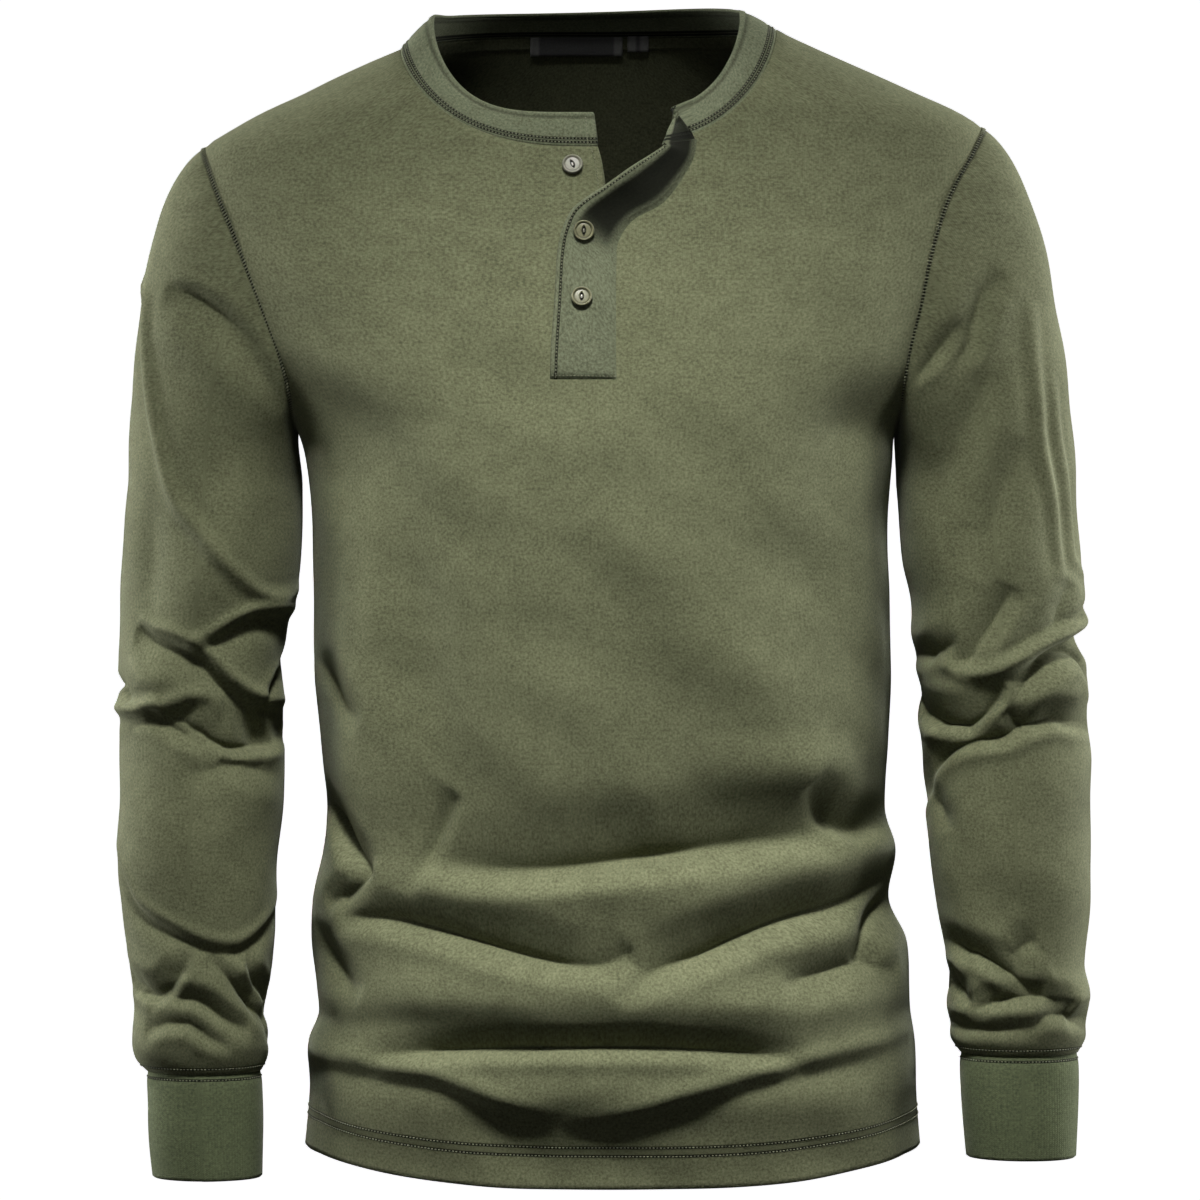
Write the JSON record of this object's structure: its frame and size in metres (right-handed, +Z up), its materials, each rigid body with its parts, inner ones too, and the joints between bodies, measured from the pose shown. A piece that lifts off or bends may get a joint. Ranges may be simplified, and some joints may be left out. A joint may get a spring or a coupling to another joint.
{
  "type": "henley shirt",
  "caption": "Long-sleeved henley shirt in jersey, hollow as worn, with a collarless neckband, a part-open button placket, cuffs and a straight hem.",
  "frame": {"origin": "base of the neck, in the middle between the shoulder seams and level with their neck ends, where the wearer holds it up", "axes": "+Z up, -Y out of the chest, +X towards the wearer's left arm"},
  "size_m": [0.588, 0.24, 0.7101],
  "materials": {
    "jersey": "olive green cotton jersey, matte",
    "cuff_jersey": "darker olive ribbed cotton, matte",
    "thread": "olive sewing thread",
    "label": "black woven satin ribbon, bare",
    "button_grey": "silvery grey, horn look",
    "button_tan": "tan, horn look"
  },
  "bodies": {
    "root": {"front": "jersey", "back": "jersey", "sleeve_left": "jersey", "sleeve_right": "jersey", "cuff_left": "cuff_jersey", "cuff_right": "cuff_jersey", "neckband": "jersey", "placket_over": "jersey", "neck_tape": "jersey", "neck_label": "label", "size_tab": "label", "button_1": "button_grey", "button_2": "button_tan", "button_3": "button_tan"}
  },
  "joints": []
}
